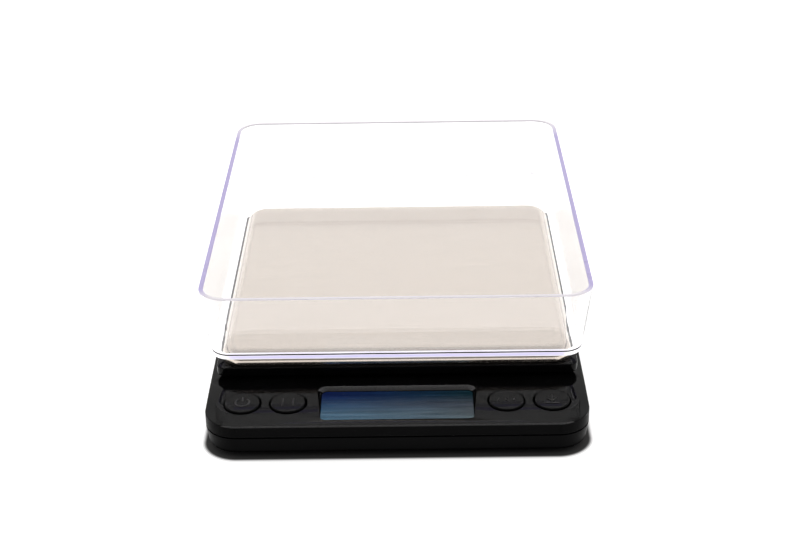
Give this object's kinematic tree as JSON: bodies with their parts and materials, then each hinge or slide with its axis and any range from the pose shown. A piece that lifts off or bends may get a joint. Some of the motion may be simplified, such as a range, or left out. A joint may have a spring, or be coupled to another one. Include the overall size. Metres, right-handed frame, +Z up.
{
  "type": "digital gram scale",
  "caption": "Low pocket scale with a square steel weighing plate, a sloping panel with a display and round buttons, and a clear open tray that lifts off.",
  "frame": {"origin": "on the table, under the middle of the outline of the scale with its tray on", "axes": "+X to the right as the user faces the display, +Y away from the user, +Z up"},
  "size_m": [0.1096, 0.1514, 0.0397],
  "materials": {
    "black_abs": "satin black with a fine moulded texture",
    "button_abs": "satin black",
    "black_rubber": "matt black",
    "screw_steel": "bright zinc plating",
    "display_window": "polished, lightly tinted",
    "display_cell": "dark blue-green display glass",
    "light_guide": "milky white",
    "contact_rubber": "matt pink with dark conducting layers",
    "board_laminate": "green solder mask",
    "chip_resin": "matt black resin",
    "solder_parts": "tinned ends on tan bodies",
    "switch_plastic": "satin dark grey",
    "cell_aluminium": "milled",
    "gauge_film": "foil on amber film",
    "sealant": "white silicone",
    "wire_cover": "red and black insulation",
    "battery_can": "plain printed sleeve, bare ends",
    "contact_nickel": "nickel plating",
    "foam_tape": "thin adhesive tape",
    "plate_steel": "brushed along the width",
    "clear_styrene": "clear, polished, faint violet at the edges"
  },
  "bodies": {
    "base": {"lower_case": "black_abs", "upper_case": "black_abs", "rubber_feet": "black_rubber", "case_screws": "screw_steel", "lcd_window": "display_window", "lcd_glass": "display_cell", "backlight_guide": "light_guide", "zebra_strip": "contact_rubber", "main_board": "board_laminate", "board_screws": "screw_steel", "controller_chip": "chip_resin", "board_components": "solder_parts", "tact_switches": "switch_plastic", "load_cell": "cell_aluminium", "strain_gauges": "gauge_film", "gauge_sealant": "sealant", "load_cell_screws": "screw_steel", "load_cell_leads": "wire_cover", "battery_1": "battery_can", "battery_2": "battery_can", "contact_springs": "contact_nickel", "contact_plates": "contact_nickel", "battery_leads": "wire_cover"},
    "platform": {"plate_support": "black_abs", "support_screws": "screw_steel", "plate_tape": "foam_tape", "weighing_plate": "plate_steel"},
    "tray": {"weighing_tray": "clear_styrene"},
    "door": {"battery_door": "black_abs"},
    "power_key": {"power_button": "button_abs", "power_plunger": "switch_plastic"},
    "mode_key": {"mode_button": "button_abs", "mode_plunger": "switch_plastic"},
    "count_key": {"count_button": "button_abs", "count_plunger": "switch_plastic"},
    "tare_key": {"tare_button": "button_abs", "tare_plunger": "switch_plastic"}
  },
  "joints": [
    {"name": "platform_sink", "type": "slide", "parent": "base", "child": "platform", "axis": [0, 0, -1], "range_m": [0, 0.0005], "stiffness_N_per_m": 12000, "springref_m": -0.00015, "deforming": ["load_cell"]},
    {"name": "tray_lift", "type": "slide", "parent": "platform", "child": "tray", "axis": [0, 0, 1], "range_m": [0, 0.04]},
    {"name": "door_slide", "type": "slide", "parent": "base", "child": "door", "axis": [0, 1, 0], "range_m": [0, 0.032]},
    {"name": "power_press", "type": "slide", "parent": "base", "child": "power_key", "axis": [0, 0, -1], "range_m": [0, 0.0003], "stiffness_N_per_m": 800, "springref_m": -0.0015},
    {"name": "mode_press", "type": "slide", "parent": "base", "child": "mode_key", "axis": [0, 0, -1], "range_m": [0, 0.0003], "stiffness_N_per_m": 800, "springref_m": -0.0015},
    {"name": "count_press", "type": "slide", "parent": "base", "child": "count_key", "axis": [0, 0, -1], "range_m": [0, 0.0003], "stiffness_N_per_m": 800, "springref_m": -0.0015},
    {"name": "tare_press", "type": "slide", "parent": "base", "child": "tare_key", "axis": [0, 0, -1], "range_m": [0, 0.0003], "stiffness_N_per_m": 800, "springref_m": -0.0015}
  ]
}
